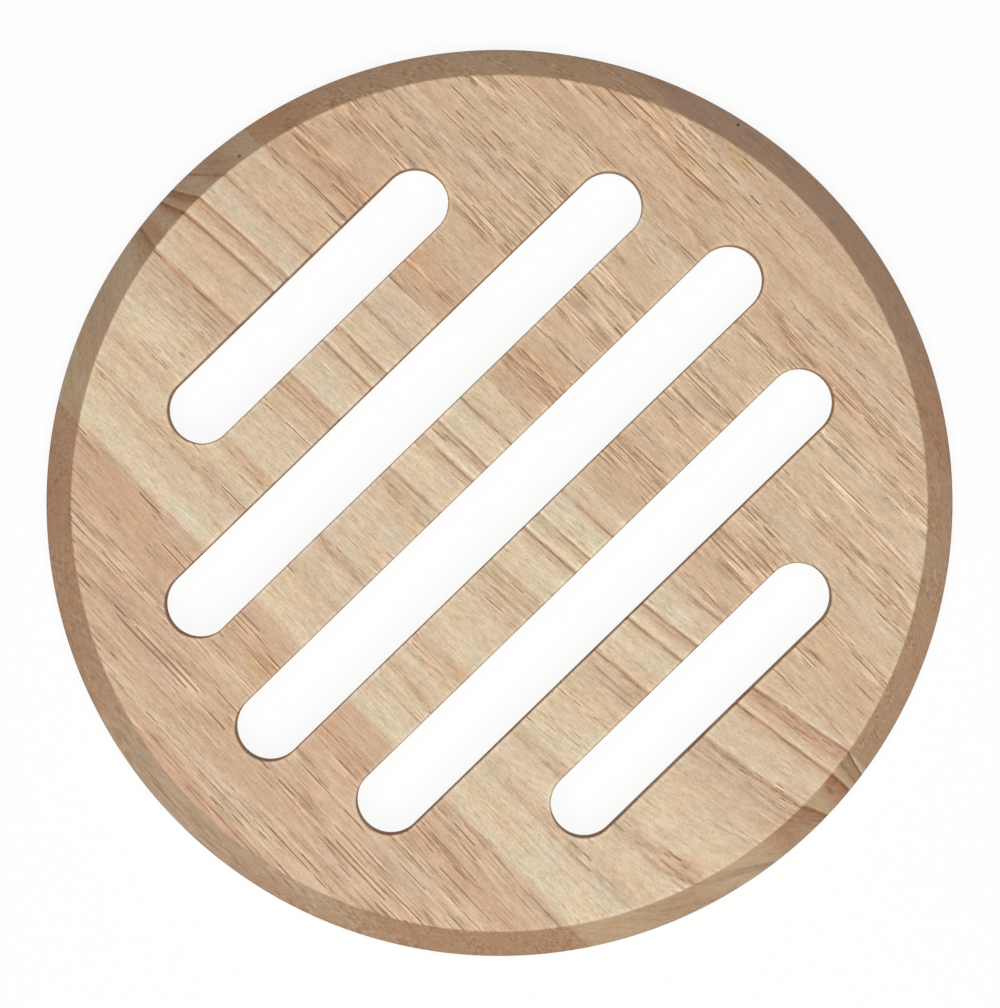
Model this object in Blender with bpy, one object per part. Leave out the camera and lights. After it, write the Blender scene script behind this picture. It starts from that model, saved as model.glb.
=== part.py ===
"""Round wooden pot trivet: a panel of staves glued edge to edge, turned round, and routed with slots.

Metres, +Z up. The origin is the centre of the underside.
+X runs along the slots and across the staves, and +Y runs along the grain.
"""

import math

import bmesh
import bpy
from mathutils import Matrix, Vector

# The disc
DISC_DIAMETER = 0.200
DISC_THICKNESS = 0.015
TOP_BEVEL_WIDTH = 0.0059
TOP_BEVEL_DEPTH = 0.0080
BASE_BEVEL = 0.0010

# The slots, and the wood left between each slot's end and the outer edge, measured along the slot
SLOT_WIDTH = 0.0148
BAR_WIDTH = 0.0154
CENTRE_SLOT_RIM = 0.0220
NEXT_SLOT_RIM = 0.0251
OUTER_SLOT_RIM = 0.0396
SLOT_EDGE_EASING = 0.0005

# The staves, which the right one completes, and the glue line between neighbours
LEFT_STAVE_WIDTH = 0.0460
MIDDLE_STAVE_WIDTH = 0.0711
RIM_STAVE_WIDTH = 0.0118
GLUE_LINE = 0.0003

# How finely the round shapes are drawn
DISC_SEGMENTS = 128
SLOT_END_SEGMENTS = 20
SMOOTH_UP_TO = math.radians(30)

# The bare wood of each stave, from the left, as linear colours
STAVE_WOODS = {
    "left_stave": (0.60, 0.41, 0.28),
    "middle_stave": (0.68, 0.52, 0.36),
    "right_stave": (0.61, 0.44, 0.30),
    "rim_stave": (0.56, 0.39, 0.26),
}
WOOD_ROUGHNESS = 0.6

DISC_RADIUS = DISC_DIAMETER / 2
TOP_FACE_RADIUS = DISC_RADIUS - TOP_BEVEL_WIDTH


def clear_scene():
    for thing in list(bpy.data.objects):
        bpy.data.objects.remove(thing, do_unlink=True)


def add_object(name, shape, place=(0, 0, 0)):
    """Turns a finished bmesh into an object of the scene."""
    bmesh.ops.recalc_face_normals(shape, faces=shape.faces)
    mesh = bpy.data.meshes.new(name)
    shape.to_mesh(mesh)
    shape.free()
    mesh.shade_smooth()
    mesh.set_sharp_from_angle(angle=SMOOTH_UP_TO)
    thing = bpy.data.objects.new(name, mesh)
    thing.location = place
    bpy.context.scene.collection.objects.link(thing)
    return thing


def as_helper(thing):
    thing.hide_render = True
    thing.display_type = "WIRE"
    return thing


def turned_disc():
    """The outline that the glued panel is turned to: flat faces, a wide top bevel and an eased base edge."""
    profile = (
        (TOP_FACE_RADIUS, DISC_THICKNESS),
        (DISC_RADIUS, DISC_THICKNESS - TOP_BEVEL_DEPTH),
        (DISC_RADIUS, BASE_BEVEL),
        (DISC_RADIUS - BASE_BEVEL, 0),
    )
    shape = bmesh.new()
    points = [shape.verts.new((reach, 0, height)) for reach, height in profile]
    lines = [shape.edges.new(pair) for pair in zip(points, points[1:])]
    bmesh.ops.spin(
        shape,
        geom=points + lines,
        cent=(0, 0, 0),
        axis=(0, 0, 1),
        angle=math.tau,
        steps=DISC_SEGMENTS,
        use_merge=True,
    )
    bmesh.ops.holes_fill(shape, edges=shape.edges)
    return as_helper(add_object("turned_disc", shape))


def slot_rows():
    """Centre line and half length of each slot, from -Y to +Y, for as many as the disc has room for."""
    rims = (OUTER_SLOT_RIM, NEXT_SLOT_RIM, CENTRE_SLOT_RIM, NEXT_SLOT_RIM, OUTER_SLOT_RIM)
    pitch = SLOT_WIDTH + BAR_WIDTH
    rows = []
    for row, rim in enumerate(rims):
        centre_line = (row - len(rims) // 2) * pitch
        half_chord = math.sqrt(max(DISC_RADIUS**2 - centre_line**2, 0))
        half_length = half_chord - rim
        if half_length > SLOT_WIDTH / 2:
            rows.append((centre_line, half_length))
    return rows


def slot_outline(half_length, flare):
    """Points round a slot that is widened by flare on all sides, counter-clockwise, with round ends."""
    end_radius = SLOT_WIDTH / 2 + flare
    end_centre = half_length - SLOT_WIDTH / 2
    outline = []
    for side in (1, -1):
        for step in range(SLOT_END_SEGMENTS + 1):
            turn = math.pi * (step / SLOT_END_SEGMENTS - 1 / 2)
            x = side * (end_centre + end_radius * math.cos(turn))
            y = side * end_radius * math.sin(turn)
            outline.append((x, y))
    return outline


def slot_cutters(rows):
    """The path of the router through every slot, flared at both faces to ease the slot's edges."""
    ease = SLOT_EDGE_EASING
    levels = (
        (-ease, 2 * ease),
        (ease, 0),
        (DISC_THICKNESS - ease, 0),
        (DISC_THICKNESS + ease, 2 * ease),
    )
    shape = bmesh.new()
    for centre_line, half_length in rows:
        rings = []
        for height, flare in levels:
            outline = slot_outline(half_length, flare)
            rings.append([shape.verts.new((x, y + centre_line, height)) for x, y in outline])
        for lower, upper in zip(rings, rings[1:]):
            for point in range(len(lower)):
                shape.faces.new((lower[point - 1], lower[point], upper[point], upper[point - 1]))
        shape.faces.new(rings[0])
        shape.faces.new(rings[-1])
    return as_helper(add_object("slot_cutters", shape))


def stave_edges():
    """The left and right side of each stave, half a glue line short of its joints."""
    first_joint = LEFT_STAVE_WIDTH - DISC_RADIUS
    second_joint = first_joint + MIDDLE_STAVE_WIDTH
    third_joint = DISC_RADIUS - RIM_STAVE_WIDTH
    joints = (first_joint, second_joint, third_joint)
    lefts = [-DISC_DIAMETER] + [joint + GLUE_LINE / 2 for joint in joints]
    rights = [joint - GLUE_LINE / 2 for joint in joints] + [DISC_DIAMETER]
    return zip(lefts, rights)


def stave_lengths(left, right, rows):
    """The Y spans of the lengths that a stave is parted into by the slots that cross its whole width."""
    partings = [line for line, half_length in rows if -half_length < left and right < half_length]
    limits = [-DISC_DIAMETER, *partings, DISC_DIAMETER]
    return list(zip(limits, limits[1:]))


def length_names(stave, count):
    """A whole stave keeps its name. A parted one has an end length at each rim and bars between the slots."""
    if count == 1:
        return [stave]
    bars = [f"{stave}_bar_{number}" for number in range(1, count - 1)]
    return [f"{stave}_lower_end", *bars, f"{stave}_upper_end"]


def wood(stave, colour):
    """Plain matt wood in the stave's own colour."""
    material = bpy.data.materials.new(f"{stave}_wood")
    material.use_nodes = True
    shader = material.node_tree.nodes["Principled BSDF"]
    shader.inputs["Base Color"].default_value = (*colour, 1)
    shader.inputs["Roughness"].default_value = WOOD_ROUGHNESS
    shader.inputs["Metallic"].default_value = 0
    return material


def add_length(name, x_span, y_span, material, disc, slots):
    """One length of a stave: an oversize blank, turned with the disc and routed with the slots."""
    low = Vector((x_span[0], y_span[0], -DISC_THICKNESS))
    high = Vector((x_span[1], y_span[1], 2 * DISC_THICKNESS))
    shape = bmesh.new()
    bmesh.ops.create_cube(shape, size=1, matrix=Matrix.Diagonal((*(high - low), 1)))
    length = add_object(name, shape, place=(low + high) / 2)
    length.data.materials.append(material)
    for step, operation, tool in (("turned", "INTERSECT", disc), ("routed", "DIFFERENCE", slots)):
        cut = length.modifiers.new(step, "BOOLEAN")
        cut.operation = operation
        cut.solver = "EXACT"
        cut.object = tool
    return length


def build_trivet():
    clear_scene()
    rows = slot_rows()
    disc = turned_disc()
    slots = slot_cutters(rows)
    trivet = bpy.data.objects.new("trivet", None)
    bpy.context.scene.collection.objects.link(trivet)
    for (stave, colour), (left, right) in zip(STAVE_WOODS.items(), stave_edges()):
        material = wood(stave, colour)
        spans = stave_lengths(left, right, rows)
        for name, y_span in zip(length_names(stave, len(spans)), spans):
            length = add_length(name, (left, right), y_span, material, disc, slots)
            length.parent = trivet


build_trivet()
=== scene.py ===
"""Looks of the round slotted trivet: rounded staves of oiled wood, a pale floor, soft light and the camera.

Metres, +Z up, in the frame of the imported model: +X runs along the slots and +Y along the grain.
The wood is a solid texture, worked out in millimetres, so that the grain runs through every face and edge.
"""

import math
from collections import namedtuple

import bmesh
import bpy
from mathutils import Color, Matrix, Vector


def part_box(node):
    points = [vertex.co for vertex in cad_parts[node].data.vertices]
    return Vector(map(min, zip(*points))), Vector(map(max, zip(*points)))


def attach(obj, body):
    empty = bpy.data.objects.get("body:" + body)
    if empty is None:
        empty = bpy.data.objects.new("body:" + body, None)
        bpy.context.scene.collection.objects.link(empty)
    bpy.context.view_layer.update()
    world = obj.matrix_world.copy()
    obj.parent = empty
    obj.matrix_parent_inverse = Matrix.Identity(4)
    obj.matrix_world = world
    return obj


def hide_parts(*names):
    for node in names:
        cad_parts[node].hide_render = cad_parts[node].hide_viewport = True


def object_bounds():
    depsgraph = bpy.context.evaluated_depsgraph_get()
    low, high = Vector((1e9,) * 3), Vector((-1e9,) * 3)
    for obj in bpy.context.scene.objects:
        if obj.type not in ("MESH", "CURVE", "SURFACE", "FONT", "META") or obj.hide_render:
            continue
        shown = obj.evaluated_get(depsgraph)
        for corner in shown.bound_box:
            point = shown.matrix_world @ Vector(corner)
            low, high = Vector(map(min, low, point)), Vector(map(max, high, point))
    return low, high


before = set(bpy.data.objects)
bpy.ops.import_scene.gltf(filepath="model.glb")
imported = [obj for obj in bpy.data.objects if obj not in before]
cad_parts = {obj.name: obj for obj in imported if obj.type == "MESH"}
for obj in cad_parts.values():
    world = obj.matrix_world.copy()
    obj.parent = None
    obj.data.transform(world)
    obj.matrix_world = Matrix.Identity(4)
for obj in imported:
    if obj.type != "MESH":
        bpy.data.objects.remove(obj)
cad_low, cad_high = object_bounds()

MM = 0.001

# Sizes that the frame gives
RADIUS = cad_high.x
THICKNESS = cad_high.z
BAR_1_LOW, BAR_1_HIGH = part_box("middle_stave_bar_1")
BAR_2_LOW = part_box("middle_stave_bar_2")[0]
SLOT_WIDTH = BAR_2_LOW.y - BAR_1_HIGH.y
SLOT_PITCH = SLOT_WIDTH + BAR_1_HIGH.y - BAR_1_LOW.y
FIRST_JOINT = (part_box("left_stave")[1].x + BAR_1_LOW.x) / 2
SECOND_JOINT = (BAR_1_HIGH.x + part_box("right_stave")[0].x) / 2
THIRD_JOINT = (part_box("right_stave")[1].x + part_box("rim_stave")[0].x) / 2

# The turned edge, and the wood between the end of each slot and the outer edge, measured along the slot
BEVEL_WIDTH = 5.9 * MM
BEVEL_DEPTH = 8.0 * MM
BEVEL_CROWN = 0.12 * MM
OUTER_SLOT_RIM = 39.6 * MM
NEXT_SLOT_RIM = 25.1 * MM
CENTRE_SLOT_RIM = 22.0 * MM
ARRIS_RADIUS = RADIUS - BEVEL_WIDTH
BELT_HEIGHT = THICKNESS - BEVEL_DEPTH

# How far each rounding reaches from its corner
ARRIS_ROUNDING = 0.4 * MM
CROWN_ROUNDING = 3.0 * MM
BELT_ROUNDING = 0.8 * MM
BASE_ROUNDING = 1.3 * MM
SLOT_ROUNDING = 0.45 * MM

# How finely the round shapes are drawn
DISC_SEGMENTS = 320
SLOT_END_SEGMENTS = 48
ROUNDING_STEPS = 6
SHARP_ABOVE = math.radians(40)

# The view: straight down but for two small leans, in a picture that is turned against the slots
PICTURE_TURN = math.radians(44.19)
LEAN_ALONG_SLOTS = math.radians(0.38)
LEAN_ALONG_GRAIN = math.radians(0.20)
VIEW_DISTANCE = 2.1
PICTURE_HEIGHT = 222.4 * MM
PICTURE_CENTRE = Vector((0.12 * MM, -0.20 * MM))
SENSOR = 36.0
PICTURE_RIGHT = Vector((math.cos(PICTURE_TURN), -math.sin(PICTURE_TURN), 0))
PICTURE_UP = Vector((math.sin(PICTURE_TURN), math.cos(PICTURE_TURN), 0))

# The studio: one lamp that leans to the bottom of the picture, faint light all round, and the floor
LAMP_DISTANCE = 1.6
LAMP_LEAN = math.radians(9.0)
LAMP_SIZE = 1.2
LAMP_POWER = 24.7
AMBIENT = 0.08
FLOOR_REACH = 3.0
FLOOR_GAP = 0.05 * MM
FLOOR_PALENESS = 0.80
FLOOR_WHITE_SHARE = 0.90


# Shapes

def add_object(name, data):
    thing = bpy.data.objects.new(name, data)
    bpy.context.scene.collection.objects.link(thing)
    return thing


def add_shape(name, shape):
    """Turns a finished bmesh into an object."""
    bmesh.ops.recalc_face_normals(shape, faces=shape.faces)
    mesh = bpy.data.meshes.new(name)
    shape.to_mesh(mesh)
    shape.free()
    return add_object(name, mesh)


def rounded(before, corner, after, reach):
    """Points of a smooth turn at a corner, from reach before it to reach after it."""
    start = corner + (before - corner).normalized() * reach
    end = corner + (after - corner).normalized() * reach
    points = []
    for step in range(ROUNDING_STEPS + 1):
        share = step / ROUNDING_STEPS
        points.append(start.lerp(corner, share).lerp(corner.lerp(end, share), share))
    return points


def disc_profile():
    """Half the section of the disc, from the top face to the underside: bevel, short wall, eased edges."""
    crown_reach = RADIUS - BEVEL_WIDTH / 2 + BEVEL_CROWN
    crown_height = THICKNESS - BEVEL_DEPTH / 2 + BEVEL_CROWN
    corners = (
        (Vector((ARRIS_RADIUS, THICKNESS)), ARRIS_ROUNDING),
        (Vector((crown_reach, crown_height)), CROWN_ROUNDING),
        (Vector((RADIUS, BELT_HEIGHT)), BELT_ROUNDING),
        (Vector((RADIUS, 0)), BASE_ROUNDING),
    )
    path = [Vector((0, THICKNESS)), *(corner for corner, reach in corners), Vector((0, 0))]
    profile = []
    for place, (corner, reach) in enumerate(corners, start=1):
        profile += rounded(path[place - 1], corner, path[place + 1], reach)
    return profile


def turned_disc():
    shape = bmesh.new()
    points = [shape.verts.new((reach, 0, height)) for reach, height in disc_profile()]
    lines = [shape.edges.new(pair) for pair in zip(points, points[1:])]
    bmesh.ops.spin(
        shape,
        geom=points + lines,
        cent=(0, 0, 0),
        axis=(0, 0, 1),
        angle=math.tau,
        steps=DISC_SEGMENTS,
        use_merge=True,
    )
    bmesh.ops.holes_fill(shape, edges=shape.edges)
    return add_shape("turned_disc", shape)


def slot_rows():
    """Centre line and half length of each slot, from -Y to +Y."""
    rims = (OUTER_SLOT_RIM, NEXT_SLOT_RIM, CENTRE_SLOT_RIM, NEXT_SLOT_RIM, OUTER_SLOT_RIM)
    rows = []
    for row, rim in enumerate(rims):
        centre_line = (row - len(rims) // 2) * SLOT_PITCH
        rows.append((centre_line, math.sqrt(RADIUS**2 - centre_line**2) - rim))
    return rows


def slot_outline(half_length, flare):
    """Points round a slot that is widened by flare on all sides, counter-clockwise, with round ends."""
    end_radius = SLOT_WIDTH / 2 + flare
    end_centre = half_length - SLOT_WIDTH / 2
    outline = []
    for side in (1, -1):
        for step in range(SLOT_END_SEGMENTS + 1):
            turn = math.pi * (step / SLOT_END_SEGMENTS - 1 / 2)
            x = side * (end_centre + end_radius * math.cos(turn))
            y = side * end_radius * math.sin(turn)
            outline.append((x, y))
    return outline


def slot_levels():
    """Height and flare of the rings that a slot is lofted through, with its edges rounded at both faces."""
    upper = []
    for step in range(ROUNDING_STEPS):
        turn = math.pi / 2 * step / ROUNDING_STEPS
        drop = SLOT_ROUNDING * (1 - math.sin(turn))
        upper.append((THICKNESS - drop, SLOT_ROUNDING * (1 - math.cos(turn))))
    upper.append((THICKNESS + SLOT_ROUNDING, 2 * SLOT_ROUNDING))
    lower = [(THICKNESS - height, flare) for height, flare in reversed(upper)]
    return lower + upper


def slot_cutters():
    shape = bmesh.new()
    for centre_line, half_length in slot_rows():
        loops = []
        for height, flare in slot_levels():
            outline = slot_outline(half_length, flare)
            loops.append([shape.verts.new((x, y + centre_line, height)) for x, y in outline])
        for lower, upper in zip(loops, loops[1:]):
            for point in range(len(lower)):
                shape.faces.new((lower[point - 1], lower[point], upper[point], upper[point - 1]))
        shape.faces.new(loops[0])
        shape.faces.new(loops[-1])
    return add_shape("slot_cutters", shape)


def blank(x_span, y_span):
    """An oversize block round one length of a stave."""
    low = Vector((x_span[0], y_span[0], -THICKNESS))
    high = Vector((x_span[1], y_span[1], 2 * THICKNESS))
    shape = bmesh.new()
    place = Matrix.Translation((low + high) / 2) @ Matrix.Diagonal((*(high - low), 1))
    bmesh.ops.create_cube(shape, size=1, matrix=place)
    return add_shape("blank", shape)


def cut(thing, operation, tool):
    """Applies one Boolean step to a thing's mesh."""
    step = thing.modifiers.new("cut", "BOOLEAN")
    step.operation = operation
    step.solver = "EXACT"
    step.object = tool
    graph = bpy.context.evaluated_depsgraph_get()
    mesh = bpy.data.meshes.new_from_object(thing.evaluated_get(graph))
    thing.modifiers.clear()
    thing.data = mesh


def finish_surface(piece):
    """Smooth shading that keeps the flat faces flat and the joints sharp."""
    piece.data.shade_smooth()
    piece.data.set_sharp_from_angle(angle=SHARP_ABOVE)
    normals = piece.modifiers.new("flat_faces", "WEIGHTED_NORMAL")
    normals.keep_sharp = True


def stave_lengths():
    """The X span and Y span of the wood that stands for each node. The staves meet at their joints."""
    far = 2 * RADIUS
    middle = (FIRST_JOINT, SECOND_JOINT)
    return {
        "left_stave": ((-far, FIRST_JOINT), (-far, far)),
        "middle_stave_lower_end": (middle, (-far, -SLOT_PITCH)),
        "middle_stave_bar_1": (middle, (-SLOT_PITCH, 0)),
        "middle_stave_bar_2": (middle, (0, SLOT_PITCH)),
        "middle_stave_upper_end": (middle, (SLOT_PITCH, far)),
        "right_stave": ((SECOND_JOINT, THIRD_JOINT), (-far, far)),
        "rim_stave": ((THIRD_JOINT, far), (-far, far)),
    }


def build_staves(woods):
    """Cuts each length out of the slotted disc, and puts it in the place of its node."""
    slots = slot_cutters()
    disc = turned_disc()
    cut(disc, "DIFFERENCE", slots)
    for node, (x_span, y_span) in stave_lengths().items():
        piece = add_object(f"{node}_timber", disc.data.copy())
        block = blank(x_span, y_span)
        cut(piece, "INTERSECT", block)
        bpy.data.objects.remove(block)
        finish_surface(piece)
        stave = next(name for name in woods if node.startswith(name))
        piece.data.materials.clear()
        piece.data.materials.append(woods[stave])
        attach(piece, "root")
        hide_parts(node)
    bpy.data.objects.remove(disc)
    bpy.data.objects.remove(slots)


# Fields and colours in a material's nodes

# The sockets of a colour Mix node, which other kinds of mix share names with
MIX_SHARE, MIX_UNDER, MIX_OVER, MIX_RESULT = 0, 6, 7, 2

# How far a seed moves the noise, and how much scattered lines stray from even spacing
SEED_STEP = 1.7
LINE_SCATTER = 0.75


class Field:
    """A number or colour that a node puts out. Arithmetic on fields adds Math nodes to their tree."""

    def __init__(self, tree, socket):
        self.tree = tree
        self.socket = socket

    def math(self, operation, *others):
        node = self.tree.nodes.new("ShaderNodeMath")
        node.operation = operation
        for place, value in enumerate((self, *others)):
            feed(self.tree, node.inputs[place], value)
        return Field(self.tree, node.outputs["Value"])

    def __add__(self, other):
        return self.math("ADD", other)

    def __sub__(self, other):
        return self.math("SUBTRACT", other)

    def __mul__(self, other):
        return self.math("MULTIPLY", other)

    def __truediv__(self, other):
        return self.math("DIVIDE", other)

    def __pow__(self, other):
        return self.math("POWER", other)

    def __rsub__(self, other):
        return self * -1 + other

    def __abs__(self):
        return self.math("ABSOLUTE")

    __radd__ = __add__
    __rmul__ = __mul__

    def least(self, other):
        return self.math("MINIMUM", other)

    def most(self, other):
        return self.math("MAXIMUM", other)

    def ramp(self, start, end, kind="LINEAR"):
        """0 up to start, 1 from end on."""
        node = self.tree.nodes.new("ShaderNodeMapRange")
        node.interpolation_type = kind
        feed(self.tree, node.inputs["Value"], self)
        feed(self.tree, node.inputs["From Min"], start)
        feed(self.tree, node.inputs["From Max"], end)
        return Field(self.tree, node.outputs["Result"])

    def eased(self, start, end):
        return self.ramp(start, end, "SMOOTHSTEP")

    def between(self, rise, fall):
        """1 between two soft limits, each given by where it starts and ends, and 0 outside them."""
        return self.eased(*rise) * (1 - self.eased(*fall))

    def at_least(self, low):
        """From 0 to 1 becomes from low to 1."""
        return self * (1 - low) + low


def feed(tree, socket, value):
    """Links a field to a socket, or sets a plain number or colour on it."""
    if isinstance(value, Field):
        tree.links.new(value.socket, socket)
    else:
        socket.default_value = value


def parts(tree, kind, output):
    """The X, Y and Z of a vector that a node of the given kind puts out."""
    split = tree.nodes.new("ShaderNodeSeparateXYZ")
    tree.links.new(tree.nodes.new(kind).outputs[output], split.inputs["Vector"])
    return [Field(tree, split.outputs[axis]) for axis in "XYZ"]


def noise(tree, spot, size, seed, detail):
    """Smooth random values from about -1 to 1, with features of the given size along each axis."""
    join = tree.nodes.new("ShaderNodeCombineXYZ")
    for axis, (along, unit) in enumerate(zip(spot, size)):
        feed(tree, join.inputs[axis], along / unit + seed * (axis + SEED_STEP))
    node = tree.nodes.new("ShaderNodeTexNoise")
    node.normalize = False
    tree.links.new(join.outputs["Vector"], node.inputs["Vector"])
    node.inputs["Scale"].default_value = 1.0
    node.inputs["Detail"].default_value = detail
    return Field(tree, node.outputs["Fac"])


def columns(tree, across, spacing, seed):
    """Distance to the nearest of scattered lines, about one to a spacing, and three random values of it."""
    node = tree.nodes.new("ShaderNodeTexVoronoi")
    node.voronoi_dimensions = "1D"
    feed(tree, node.inputs["W"], across / spacing + seed * SEED_STEP)
    node.inputs["Scale"].default_value = 1.0
    node.inputs["Randomness"].default_value = LINE_SCATTER
    split = tree.nodes.new("ShaderNodeSeparateColor")
    tree.links.new(node.outputs["Color"], split.inputs["Color"])
    draws = [Field(tree, split.outputs[name]) for name in ("Red", "Green", "Blue")]
    return Field(tree, node.outputs["Distance"]) * spacing, draws


def mixed(tree, share, under, over, mode="MIX"):
    """Lays one colour over another. Each is a field or three linear parts."""
    node = tree.nodes.new("ShaderNodeMix")
    node.data_type = "RGBA"
    node.blend_type = mode
    feed(tree, node.inputs[MIX_SHARE], share)
    for place, value in ((MIX_UNDER, under), (MIX_OVER, over)):
        feed(tree, node.inputs[place], value if isinstance(value, Field) else (*value, 1))
    return Field(tree, node.outputs[MIX_RESULT])


def stained(tree, share, tint, stain):
    """The tint with a share of the stain, which says what is left of each part of the colour."""
    return mixed(tree, share, tint, stain, "MULTIPLY")


def screen_colour(*levels):
    """The linear parts of a colour that is given as it looks on a screen, from 0 to 255."""
    return tuple(Color([level / 255 for level in levels]).from_srgb_to_scene_linear())


# Wood

# The growth rings of the middle stave, in mm: where the dark late wood of each one ends, over which width it
# darkens, how sharply it does at its end, how dark it gets, and the width of its break to the next ring
RINGS = (
    (-41.8, 5.5, 1.5, 0.36, 4.0),
    (-32.8, 4.0, 1.2, 0.34, 1.4),
    (-11.0, 14.0, 1.6, 0.46, 0.8),
    (-0.8, 5.0, 2.2, 0.58, 0.4),
    (3.7, 2.8, 0.7, 0.50, 0.3),
    (11.0, 2.6, 1.6, 0.30, 1.0),
)

# The sharp lines along its rings, in mm: middle, half width and how much darker
RING_LINES = (
    (-46.0, 0.30, 0.10), (-42.4, 0.30, 0.12), (-34.4, 0.30, 0.14),
    (-15.5, 0.25, 0.20), (-14.0, 0.25, 0.26), (-13.0, 0.20, 0.14), (-11.4, 0.25, 0.26), (-10.3, 0.30, -0.10),
    (-1.1, 0.25, 0.38), (0.0, 0.25, -0.16),
    (2.3, 0.20, 0.22), (3.5, 0.22, 0.38), (4.2, 0.22, -0.20),
    (10.7, 0.25, 0.34), (12.9, 0.20, 0.14),
)

# How far its grain strays to the right, in mm: it bends by a cubic in y, which sets in over a span of x,
# and leans by a share of the depth, which varies along the stave and across it between two limits
BEND = (0.7, -0.0603, 0.00035, -0.0000031)
BEND_SPAN = (-48, -12)
LEAN = 0.45
LEAN_ALONG = -0.0047
LEAN_ACROSS = -0.05
LEAN_MIDDLE = -10.6
LEAN_LEAST, LEAN_MOST = -0.7, 1.0

# How far its outer rings part from the inner ones with each mm, towards the lower end and the upper end
FAN_SPAN = (2.0, 5.5)
FAN_START = 30
FAN_BELOW, FAN_ABOVE = -0.028, 0.008

# How much darker late wood is, and more so where turned, and where the left rings fade on the rim, in mm
RING_TONE = 0.8
RING_TURNED_TONE = 1.8
RING_FAR_END_LOSS = 0.6
RING_RIM_LOSS = 0.85
RING_RIM_SPAN = (-26, -14)
RIM_FADE = (-0.4, 1.1)

# How much paler the right part of it is at the middle of the disc than towards its ends
PALE_MIDDLE = 0.10
END_SHADE = 0.24
END_SHADE_SPAN = (20, 80)
SHADED_SPAN = (-30, -10)

# A stain that leaves a colour as it is
UNCHANGED = (1, 1, 1)

# The look of each stave, with places and sizes in mm:
# seed picks its part of the noise; a ringed stave shows the growth rings, the others have a slanting grain
# pale and dark are its palest and darkest wood as screen colours, and level is how dark it is on the whole
# climb is how much darker it gets with each mm along the grain, and ruddy how much darker where pores crowd
# broad and streaks are the strengths of its wide and narrow streaks, and hue is how much its warmth varies
# pores is how many it has; they start where the noise is calm, and crowd where it is dense
# girth scales the width of its pores, and run is their length
# fibre and length are the strength and the length of its threads
# bands are soft stripes along the grain: middle, half width and how much darker
# lower_end and upper_end are such stripes that only turned wood shows
# turned, end_grain and far_end are what turned wood, its ends and its upper end leave of the colour
# marks are small oval stains: place, half sizes across and along the grain, stain and strength
STAVES = {
    "left_stave": dict(
        seed=3.1, ringed=False, slant=0.013,
        pale=(214, 187, 156), dark=(191, 143, 112), level=0.335, climb=0.0014, ruddy=0.04,
        broad=0.09, streaks=0.14, hue=0.5,
        pores=1.08, calm=-0.36, dense=0.30, girth=1.0, run=10, fibre=0.34, length=9,
        bands=((-93.0, 1.5, 0.24), (-87.0, 2.0, -0.25), (-70.0, 1.5, -0.18), (-61.0, 3.0, 0.15)),
        lower_end=((-88.0, 4.0, -0.30),),
        upper_end=((-68.0, 5.0, 0.22),),
        turned=(0.92, 0.96, 0.98), end_grain=(0.84, 0.70, 0.61), far_end=UNCHANGED,
        marks=((-64.0, 11.1, 1.6, 3.0, (1.00, 1.00, 0.78), 0.6),),
    ),
    "middle_stave": dict(
        seed=11.7, ringed=True,
        pale=(222, 204, 173), dark=(195, 149, 116), level=0.19, climb=0.0, ruddy=0.16,
        broad=0.10, streaks=0.16, hue=1.0,
        pores=0.50, calm=-0.15, dense=0.30, girth=0.9, run=6, fibre=0.38, length=5,
        bands=((-54.5, 1.0, 0.50), (-50.5, 2.0, -0.14), (-43.5, 2.5, -0.14), (14.5, 3.0, 0.14)),
        lower_end=(
            (15.3, 1.5, -0.30), (8.4, 2.0, 0.60), (-6.0, 3.5, 0.48),
            (-18.0, 2.5, -0.08), (-33.0, 7.0, 0.26), (-55.0, 1.5, 0.26),
        ),
        upper_end=(
            (7.0, 3.5, 0.42), (-4.0, 3.5, 0.30), (-12.8, 1.8, 0.56), (-18.5, 2.0, -0.10), (-35.0, 7.0, 0.18),
        ),
        turned=(0.97, 0.96, 0.94), end_grain=(0.87, 0.80, 0.74), far_end=(0.90, 0.89, 0.91),
        marks=(
            (12.2, 94.6, 0.45, 0.45, (0.45, 0.40, 0.35), 1.0),
            (8.1, -95.9, 0.5, 1.4, (0.62, 0.54, 0.50), 0.8),
        ),
    ),
    "right_stave": dict(
        seed=23.9, ringed=False, slant=-0.012,
        pale=(215, 193, 161), dark=(195, 147, 112), level=0.335, climb=0.0011, ruddy=0.05,
        broad=0.10, streaks=0.09, hue=0.7,
        pores=1.20, calm=-0.22, dense=0.34, girth=1.0, run=7, fibre=0.40, length=7,
        bands=((25.0, 5.0, 0.18), (57.0, 10.0, -0.10), (71.0, 2.0, 0.25), (80.5, 1.5, 0.25)),
        lower_end=((82.0, 6.0, 0.28),),
        upper_end=((23.0, 7.0, 0.28), (65.0, 6.0, -0.22)),
        turned=(0.80, 0.71, 0.66), end_grain=UNCHANGED, far_end=UNCHANGED,
        marks=((45.7, -57.5, 3.0, 5.0, (1.05, 0.96, 0.87), 0.6),),
    ),
    "rim_stave": dict(
        seed=37.3, ringed=False, slant=-0.012,
        pale=(209, 184, 153), dark=(187, 140, 107), level=0.37, climb=0.0011, ruddy=0.04,
        broad=0.10, streaks=0.09, hue=0.9,
        pores=0.70, calm=-0.20, dense=0.25, girth=1.0, run=7, fibre=0.25, length=7,
        bands=(),
        lower_end=(),
        upper_end=(),
        turned=(0.76, 0.70, 0.70), end_grain=UNCHANGED, far_end=UNCHANGED,
        marks=(
            (90.4, 17.4, 1.4, 3.2, (0.98, 0.95, 0.66), 0.7),
            (95.8, 23.1, 0.35, 0.35, (0.20, 0.15, 0.13), 1.0),
        ),
    ),
}

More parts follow.
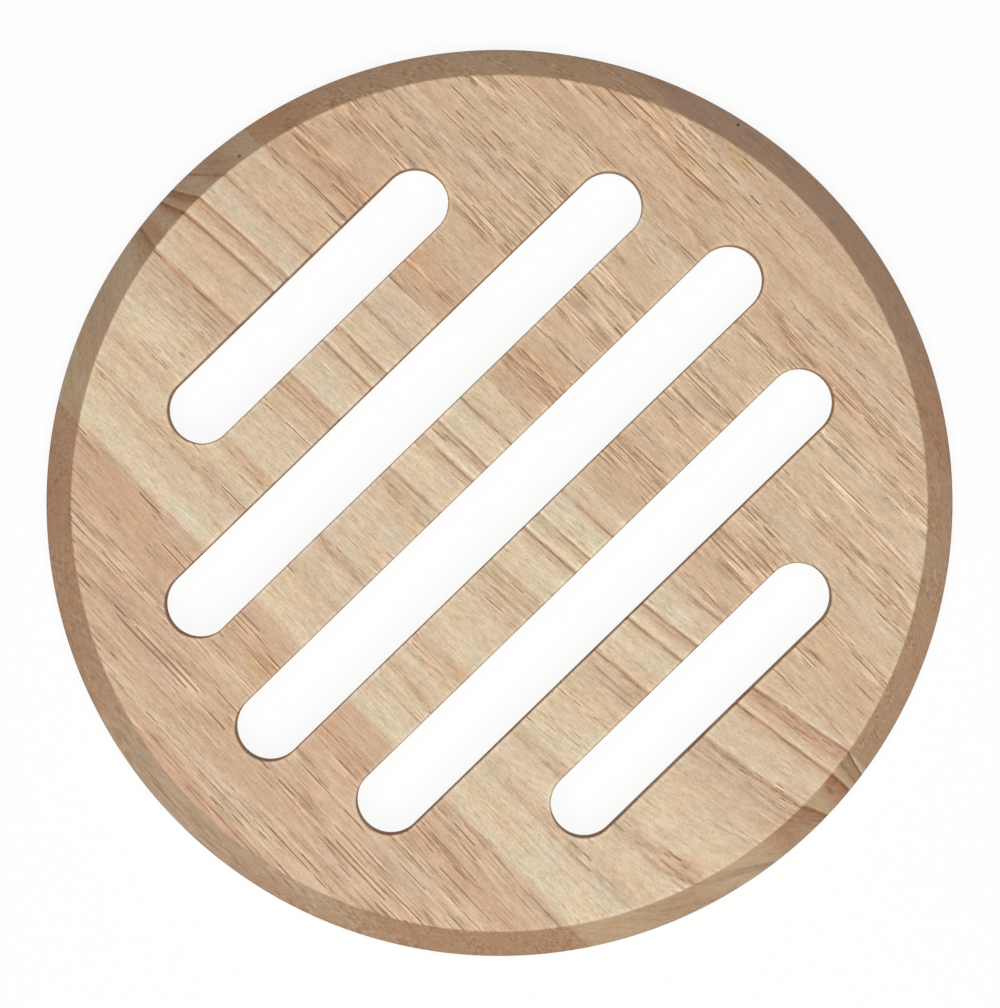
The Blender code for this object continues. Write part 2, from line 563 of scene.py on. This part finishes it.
# The patterns in all staves: feature size in mm across the grain, along it and through it, seed and detail
Pattern = namedtuple("Pattern", "size seed detail")
WANDER = Pattern((14, 60, 14), 0, 1)
WAVER = Pattern((1.6, 9, 1.6), 0.5, 1)
BROAD_STREAK = Pattern((6, 90, 8), 1, 2)
STREAK = Pattern((1.8, 45, 2.2), 2, 1)
LINE_BREAK = Pattern((2, 10, 2), 2.5, 2)
PORE_CLUSTER = Pattern((3.6, 36, 5), 3, 2)
FLECK = Pattern((0.5, 1.8, 0.6), 6.5, 0)
SPECK = Pattern((0.4, 0.5, 0.4), 7, 0)
WARM_PATCH = Pattern((5, 22, 6), 8, 2)
ROSY_PATCH = Pattern((4, 12, 5), 9, 2)
FIBRE_SEED = 6
FIBRE_WIDTH, FIBRE_DEPTH = 0.6, 0.8

# How far the grain wanders and wavers in mm, and strays in a slanting stave with each mm of depth
WANDER_REACH = 0.6
WAVER_REACH = 0.08
DEPTH_SLANT = 0.25

# Between which slopes wood counts as turned, and between which turns towards +Y or -Y it counts as an end
TURNED_SLOPE = (0.12, 0.36)
END_TURN = (0.0, 0.45)

# What the colour varies between, in large patches and small ones, and how far their noise reaches to each
WARM = (1.015, 0.98, 0.94)
GREY = (0.985, 1.01, 1.05)
WARM_REACH = 0.5
ROSY = (1.01, 0.98, 0.97)
WAN = (0.99, 1.02, 1.03)
ROSY_REACH = 0.75

# The pores: spacing and half width of their lines in mm, share of a stave's length of pore, and seed
Vessel = namedtuple("Vessel", "spacing width run seed")
WIDE_VESSEL = Vessel(1.10, 0.23, 1.0, 4)
FINE_VESSEL = Vessel(0.85, 0.18, 0.6, 5)
PORE_STAIN = (0.50, 0.42, 0.34)
FIBRE_GLEAM = (1.32, 1.40, 1.47)
FINE_PORE_SHARE, FINE_FRINGE_SHARE = 0.7, 0.6
FRINGE_STRENGTH = 0.8

# How a pore comes up: the noise along its line and the crowding lift it over a limit, where it opens softly
LINE_SHIFT = 50
PORE_DEPTH = 0.7
OPENING_SWING = 1.5
OPENING_CROWD = 0.6
OPENING_LIMIT = 0.68
OPENING_EDGE = 0.15
FAINTEST_PORE = 0.4
CROWDED_FROM = 0.4

# Shares of a pore's half width: the thinnest and how much it varies, its dark core and its pale fringe
THINNEST, WIDTH_SPREAD = 0.75, 0.5
CORE_FULL, CORE_END = 0.3, 1.15
FRINGE_FULL, FRINGE_FADE, FRINGE_END = 1.5, 1.6, 2.6

# How the late wood of a ringed stave draws pores to itself
CLUSTER_SHARE = 0.8
LATE_CROWD = 0.8
EARLY_CALM = 0.25

# Threads, flecks and specks of light and dark fibre, and the dark of the late wood
FIBRE_SHADE = (0.59, 0.55, 0.49)
FIBRE_LIGHT = (1.41, 1.45, 1.51)
MIDDLE_LIGHT = 0.5
CALM_FIBRE = 0.4
FLECK_STRENGTH = 0.17
SPECK_STRENGTH = 0.18
LINE_UNEVENNESS = 1.3
LINE_FAR_END_LOSS = 0.35
LATE_SHADE = 0.1
LATE_TURNED_SHADE = 0.4
LATE_FAR_END_LOSS = 0.2

# How much of the soft stripes, the pores and the fibre is lost on turned wood
BAND_LOSS = 0.8
PORE_LOSS = 0.6
THREAD_LOSS = 0.2

# The pale lines at the edges, partly wear that handling has polished and partly painted highlight,
# in mm from a slot and in from the rim's arris: start and end
WORN_AND_HIGHLIT_EDGE = (1.10, 1.12, 1.14)
SLOT_WEAR_AND_HIGHLIGHT = ((0.05, 0.3), (0.65, 1.2))
RIM_WEAR_AND_HIGHLIGHT = ((-0.2, 0.2), (0.4, 1.0))
RIM_HIGHLIGHT_AND_WEAR_SHARE = 0.5

# Where the edge of a mark is soft, in squares of its half sizes
MARK_EDGE = (0.2, 1.6)

# The surface: how it shines, what roughens it, and the relief of fibre and specks against a pore's depth
SPECULAR_LEVEL = 0.25
ROUGHNESS = 0.58
SPECK_ROUGHNESS, PORE_ROUGHNESS, SLOPE_ROUGHNESS = 0.05, 0.2, 0.25
BUMP_STRENGTH = 0.4
BUMP_DEPTH = 0.08 * MM
FIBRE_RELIEF, SPECK_RELIEF = 0.3, 0.2


class Timber:
    """What the layers of one stave's wood share: its look, and where a point of it lies and faces."""

    def __init__(self, tree, look):
        self.tree = tree
        self.look = look
        self.place = [part / MM for part in parts(tree, "ShaderNodeTexCoord", "Object")]
        self.x, self.y, self.z = self.place
        self.inside_rim = ARRIS_RADIUS / MM - (self.x * self.x + self.y * self.y) ** 0.5
        normal_y, normal_z = parts(tree, "ShaderNodeNewGeometry", "Normal")[1:]
        self.slope = 1 - abs(normal_z)
        self.turned = self.slope.eased(*TURNED_SLOPE)
        self.ends = abs(normal_y).eased(*END_TURN)
        self.far_end = normal_y.eased(*END_TURN)
        self.across = self.place_across()
        self.grain = (self.across, self.y, self.z)
        if look["ringed"]:
            self.ring_place = self.across - ring_fan(self.across, self.y)
            self.late = self.late_wood()

    def noise(self, pattern, spot):
        return noise(self.tree, spot, pattern.size, self.look["seed"] + pattern.seed, pattern.detail)

    def place_across(self):
        """Where the grain of a point would be if it ran straight."""
        depth = THICKNESS / MM - self.z
        if self.look["ringed"]:
            across = self.x - middle_drift(self.x, self.y, depth)
        else:
            across = self.x - self.y * self.look["slant"] + depth * DEPTH_SLANT
        across = across + self.noise(WANDER, self.place) * WANDER_REACH
        return across + self.noise(WAVER, self.place) * WAVER_REACH

    def late_wood(self):
        """How dark the rings make the wood. The left ones hardly show on the rim."""
        on_rim = 1 - self.inside_rim.eased(*RIM_FADE)
        return rings(self.ring_place) * (1 - on_rim * (1 - self.x.eased(*RING_RIM_SPAN)) * RING_RIM_LOSS)


def rings(across):
    """Each ring darkens slowly to its end, where it breaks off to the pale start of the next one."""
    tone = across * 0
    for end, width, sharpness, depth, fall in RINGS:
        fade = across.ramp(end - width, end) ** sharpness
        tone = tone + fade * (1 - across.eased(end, end + fall)) * depth
    return tone


def middle_drift(x, y, depth):
    """How far the grain of the middle stave has strayed to the right: it bends, and leans with depth."""
    bend = BEND[0] + y * BEND[1] + y * y * BEND[2] + y * y * y * BEND[3]
    lean = LEAN + y * LEAN_ALONG + (x - LEAN_MIDDLE) * LEAN_ACROSS
    return x.eased(*BEND_SPAN) * bend + lean.least(LEAN_MOST).most(LEAN_LEAST) * depth


def ring_fan(across, y):
    """How far the outer rings have parted from the inner ones towards both ends of the stave."""
    spread = (y + FAN_START).least(0) * FAN_BELOW + (y - FAN_START).most(0) * FAN_ABOVE
    return across.eased(*FAN_SPAN) * spread


def bands(across, places):
    """Soft stripes along the grain, each given by its middle, its half width and how much darker it is."""
    tone = across * 0
    for middle, width, depth in places:
        away = abs(across - middle)
        tone = tone + (1 - away.eased(0, 2 * width)) * depth
    return tone


def end_bands(wood):
    """The stripes that only turned wood shows, at the stave's lower end and at its upper end."""
    upper = wood.y.ramp(-1, 1)
    lower_tone = bands(wood.x, wood.look["lower_end"]) * (1 - upper)
    return bands(wood.x, wood.look["upper_end"]) * upper + lower_tone


def ring_tone(wood):
    """What the rings of a ringed stave and its paler middle add to its tone."""
    turned_tone = wood.late * wood.late * wood.turned * (RING_TURNED_TONE - wood.far_end * RING_FAR_END_LOSS)
    shade = abs(wood.y).eased(*END_SHADE_SPAN) * END_SHADE - PALE_MIDDLE
    return wood.late * RING_TONE + turned_tone + shade * wood.x.eased(*SHADED_SPAN) * (1 - wood.turned)


def wood_tone(wood):
    """0 is the palest early wood, 1 the darkest late wood."""
    look = wood.look
    tone = wood.noise(BROAD_STREAK, wood.grain) * look["broad"] + look["level"]
    tone = tone + wood.noise(STREAK, wood.grain) * look["streaks"]
    tone = tone + wood.y * look["climb"] * (1 - wood.turned)
    tone = tone + bands(wood.across, look["bands"]) * (1 - wood.turned * BAND_LOSS)
    tone = tone + end_bands(wood) * wood.turned
    if look["ringed"]:
        tone = tone + ring_tone(wood)
    return tone


def pore_crowd(wood):
    """How closely pores crowd: in loose clusters, and in late wood."""
    look = wood.look
    cluster = wood.noise(PORE_CLUSTER, wood.grain)
    if look["ringed"]:
        cluster = cluster * CLUSTER_SHARE + wood.late * LATE_CROWD - EARLY_CALM
    return cluster.eased(look["calm"], look["dense"]) * look["pores"]


def base_colour(wood, tone):
    """The colour of a tone, warmer and greyer in large patches, rosier and paler in small ones."""
    tree, look = wood.tree, wood.look
    base = mixed(tree, tone.ramp(0, 1), screen_colour(*look["pale"]), screen_colour(*look["dark"]))
    warmth = wood.noise(WARM_PATCH, wood.grain) * look["hue"]
    base = stained(tree, 1.0, base, mixed(tree, warmth.ramp(-WARM_REACH, WARM_REACH), GREY, WARM))
    rosiness = wood.noise(ROSY_PATCH, wood.grain)
    return stained(tree, 1.0, base, mixed(tree, rosiness.ramp(-ROSY_REACH, ROSY_REACH), WAN, ROSY))


def vessels(wood, vessel, crowd):
    """Pores that come up in dashes along straight lines of the grain, and the pale fibre beside them."""
    seed = wood.look["seed"] + vessel.seed
    across, along, up = wood.grain
    gap, (pick, width, strength) = columns(wood.tree, across, vessel.spacing, seed)
    length = wood.look["run"] * vessel.run
    wave = noise(wood.tree, (pick * LINE_SHIFT, along, up), (1, length, PORE_DEPTH), seed, 1)
    opening = (wave * OPENING_SWING + crowd * OPENING_CROWD - OPENING_LIMIT).ramp(0, OPENING_EDGE)
    crowding = crowd.ramp(0, CROWDED_FROM).at_least(FAINTEST_PORE)
    present = opening * strength.at_least(FAINTEST_PORE) * crowding
    edge = (width * WIDTH_SPREAD + THINNEST) * (vessel.width * wood.look["girth"])
    core = 1 - gap.ramp(edge * CORE_FULL, edge * CORE_END)
    fringe = gap.ramp(edge, edge * FRINGE_FULL) * (1 - gap.ramp(edge * FRINGE_FADE, edge * FRINGE_END))
    return core * present, fringe * present * FRINGE_STRENGTH


def open_pores(wood, crowd):
    """How much of a dark pore, and how much of the pale fibre beside one, a point is."""
    wide_pores, wide_fringe = vessels(wood, WIDE_VESSEL, crowd)
    fine_pores, fine_fringe = vessels(wood, FINE_VESSEL, crowd)
    shown = 1 - wood.turned * PORE_LOSS
    pores = wide_pores.most(fine_pores * FINE_PORE_SHARE) * shown
    fringe = wide_fringe.most(fine_fringe * FINE_FRINGE_SHARE) * shown
    return pores, fringe


def ring_shade(wood):
    """How much light the sharp lines along the rings take away, unevenly, and the late wood."""
    unevenness = wood.noise(LINE_BREAK, wood.grain) * LINE_UNEVENNESS + 1
    shown = 1 - wood.turned * wood.far_end * LINE_FAR_END_LOSS
    late_shade = wood.turned * (LATE_TURNED_SHADE - wood.far_end * LATE_FAR_END_LOSS) + LATE_SHADE
    return bands(wood.ring_place, RING_LINES) * unevenness * shown + wood.late * late_shade


def fibre_light(wood, crowd, fibre, speck):
    """0 to 1 from the darkest to the lightest fibre, in threads that stand out where pores crowd."""
    thread = fibre * (crowd + CALM_FIBRE) * wood.look["fibre"]
    thread = thread + wood.noise(FLECK, wood.grain) * FLECK_STRENGTH + speck * SPECK_STRENGTH
    light = thread * (1 - wood.turned * THREAD_LOSS) + MIDDLE_LIGHT
    if wood.look["ringed"]:
        light = light - ring_shade(wood)
    return light


def slot_gap(x, y):
    """Distance to the nearest edge of a slot, in mm, in the plan."""
    half_width = SLOT_WIDTH / MM / 2
    rows = slot_rows()
    nearest = None
    for centre_line, half_length in rows[len(rows) // 2:]:
        beyond = (abs(x) - (half_length / MM - half_width)).most(0)
        aside = abs(y) - centre_line / MM
        gap = (beyond * beyond + aside * aside) ** 0.5 - half_width
        nearest = gap if nearest is None else nearest.least(gap)
    return nearest


def worn_and_highlit_edges(wood):
    """Thin pale lines beside every slot and inside the rim's arris: wear from handling and painted highlight.
    """
    beside_slot = slot_gap(wood.x, wood.y).between(*SLOT_WEAR_AND_HIGHLIGHT)
    beside_rim = wood.inside_rim.between(*RIM_WEAR_AND_HIGHLIGHT)
    return beside_slot.most(beside_rim * RIM_HIGHLIGHT_AND_WEAR_SHARE) * (1 - wood.turned)


def marked(wood, tint):
    """Stains the small oval marks."""
    for place_x, place_y, half_across, half_along, stain, strength in wood.look["marks"]:
        aside = (wood.x - place_x) / half_across
        ahead = (wood.y - place_y) / half_along
        share = 1 - (aside * aside + ahead * ahead).eased(*MARK_EDGE)
        tint = stained(wood.tree, share * strength, tint, stain)
    return tint


def with_edges(wood, tint):
    """Paints the pale edge lines of wear and highlight, and stains turned wood and its ends."""
    tree, look = wood.tree, wood.look
    # Pale edge lines: partly wear, partly a painted highlight where the eased edges catch the light
    tint = stained(tree, worn_and_highlit_edges(wood), tint, WORN_AND_HIGHLIT_EDGE)
    tint = stained(tree, wood.turned, tint, look["turned"])
    tint = stained(tree, wood.turned * wood.ends, tint, look["end_grain"])
    return stained(tree, wood.turned * wood.far_end, tint, look["far_end"])


def add_relief(tree, shader, height):
    bump = tree.nodes.new("ShaderNodeBump")
    bump.inputs["Strength"].default_value = BUMP_STRENGTH
    bump.inputs["Distance"].default_value = BUMP_DEPTH
    feed(tree, bump.inputs["Height"], height)
    tree.links.new(bump.outputs["Normal"], shader.inputs["Normal"])


def stave_wood(stave, look):
    """The material of one stave: its tone and colour, with pores, fibre, edges and marks over them."""
    material = bpy.data.materials.new(f"{stave}_grain")
    material.use_nodes = True
    tree = material.node_tree
    wood = Timber(tree, look)
    crowd = pore_crowd(wood)
    pores, fringe = open_pores(wood, crowd)
    fibre = wood.noise(Pattern((FIBRE_WIDTH, look["length"], FIBRE_DEPTH), FIBRE_SEED, 0), wood.grain)
    speck = wood.noise(SPECK, wood.place)

    tint = base_colour(wood, wood_tone(wood) + crowd * look["ruddy"])
    tint = stained(tree, fringe, tint, FIBRE_GLEAM)
    tint = stained(tree, pores, tint, PORE_STAIN)
    light = fibre_light(wood, crowd, fibre, speck)
    tint = stained(tree, 1.0, tint, mixed(tree, light, FIBRE_SHADE, FIBRE_LIGHT))
    # The edges get pale lines that are partly wear and partly painted highlight
    tint = marked(wood, with_edges(wood, tint))

    shader = tree.nodes["Principled BSDF"]
    shader.inputs["Specular IOR Level"].default_value = SPECULAR_LEVEL
    feed(tree, shader.inputs["Base Color"], tint)
    roughness = speck * SPECK_ROUGHNESS + pores * PORE_ROUGHNESS + wood.slope * SLOPE_ROUGHNESS + ROUGHNESS
    feed(tree, shader.inputs["Roughness"], roughness)
    add_relief(tree, shader, fibre * FIBRE_RELIEF + speck * SPECK_RELIEF - pores)
    return material


# Studio

def background_rays(tree):
    """1 for rays that show the background, directly or in a reflection, and 0 for those that light things."""
    path = tree.nodes.new("ShaderNodeLightPath")
    seen = Field(tree, path.outputs["Is Camera Ray"])
    for name in ("Is Glossy Ray", "Is Transmission Ray"):
        seen = seen.most(Field(tree, path.outputs[name]))
    return seen


def pale_floor():
    """Pale grey in the light of the lamp. Seen, it is nearly all white, and the rest keeps the shadow."""
    material = bpy.data.materials.new("pale_floor")
    material.use_nodes = True
    tree = material.node_tree
    tree.nodes.remove(tree.nodes["Principled BSDF"])
    seen = background_rays(tree)
    lit = tree.nodes.new("ShaderNodeBsdfDiffuse")
    feed(tree, lit.inputs["Color"], seen.at_least(FLOOR_PALENESS))
    white = tree.nodes.new("ShaderNodeEmission")
    white.inputs["Strength"].default_value = 1.0
    share = tree.nodes.new("ShaderNodeMixShader")
    feed(tree, share.inputs["Fac"], seen * FLOOR_WHITE_SHARE)
    tree.links.new(lit.outputs["BSDF"], share.inputs[1])
    tree.links.new(white.outputs["Emission"], share.inputs[2])
    tree.links.new(share.outputs["Shader"], tree.nodes["Material Output"].inputs["Surface"])
    return material


def add_floor():
    shape = bmesh.new()
    bmesh.ops.create_grid(shape, x_segments=1, y_segments=1, size=FLOOR_REACH)
    floor = add_shape("floor", shape)
    floor.location.z = -FLOOR_GAP
    floor.data.materials.append(pale_floor())


def add_world():
    """White where it is seen, and a faint light on everything."""
    world = bpy.data.worlds.new("studio")
    bpy.context.scene.world = world
    world.use_nodes = True
    tree = world.node_tree
    background = tree.nodes["Background"]
    background.inputs["Color"].default_value = (1, 1, 1, 1)
    feed(tree, background.inputs["Strength"], background_rays(tree).at_least(AMBIENT))


def add_lamp():
    """One large soft box overhead, leaning to the bottom of the picture."""
    light = bpy.data.lights.new("soft_box", "AREA")
    light.shape = "DISK"
    light.size = LAMP_SIZE
    light.energy = LAMP_POWER
    lamp = add_object("soft_box", light)
    away = Vector((0, 0, math.cos(LAMP_LEAN))) - PICTURE_UP * math.sin(LAMP_LEAN)
    lamp.location = away * LAMP_DISTANCE
    lamp.rotation_euler = away.to_track_quat("Z", "Y").to_euler()


def add_camera():
    lens = bpy.data.cameras.new("camera")
    lens.sensor_width = SENSOR
    lens.lens = SENSOR * VIEW_DISTANCE / PICTURE_HEIGHT
    camera = add_object("camera", lens)
    shift = PICTURE_RIGHT * PICTURE_CENTRE.x + PICTURE_UP * PICTURE_CENTRE.y
    target = shift + Vector((0, 0, BELT_HEIGHT))
    back = Vector((math.tan(LEAN_ALONG_SLOTS), math.tan(LEAN_ALONG_GRAIN), 1)).normalized()
    right = (PICTURE_RIGHT - back * PICTURE_RIGHT.dot(back)).normalized()
    turn = Matrix((right, back.cross(right), back)).transposed()
    camera.matrix_world = Matrix.Translation(target + back * VIEW_DISTANCE) @ turn.to_4x4()
    bpy.context.scene.camera = camera


build_staves({stave: stave_wood(stave, look) for stave, look in STAVES.items()})
add_floor()
add_world()
add_lamp()
add_camera()
bpy.context.scene.view_settings.view_transform = "Standard"
